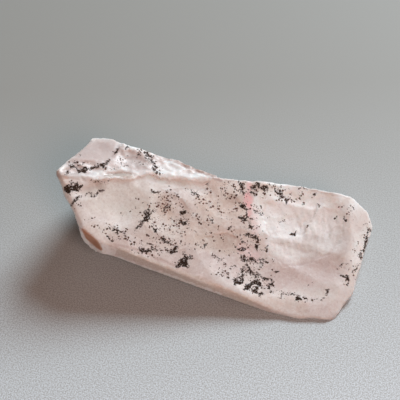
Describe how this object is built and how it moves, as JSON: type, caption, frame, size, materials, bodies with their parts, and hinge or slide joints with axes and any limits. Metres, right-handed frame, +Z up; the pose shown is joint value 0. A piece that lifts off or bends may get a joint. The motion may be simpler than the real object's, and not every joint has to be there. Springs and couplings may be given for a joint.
{
  "type": "rough morganite crystal",
  "caption": "Rough pale pink beryl crystal: a flattened prism broken at both ends, with a smaller crystal grown along its back and shell-shaped fracture hollows.",
  "frame": {"origin": "middle of the bounding box's bottom, on the surface that the crystal rests on", "axes": "+X runs along the crystal from its lifted broken end to its thin end, +Y towards the back of the picture's view, +Z up"},
  "size_m": [0.0456, 0.0202, 0.0128],
  "materials": {
    "pink_beryl": "translucent, satin broken surfaces and smoother crystal faces"
  },
  "bodies": {
    "root": {"morganite_crystal": "pink_beryl"}
  },
  "joints": []
}
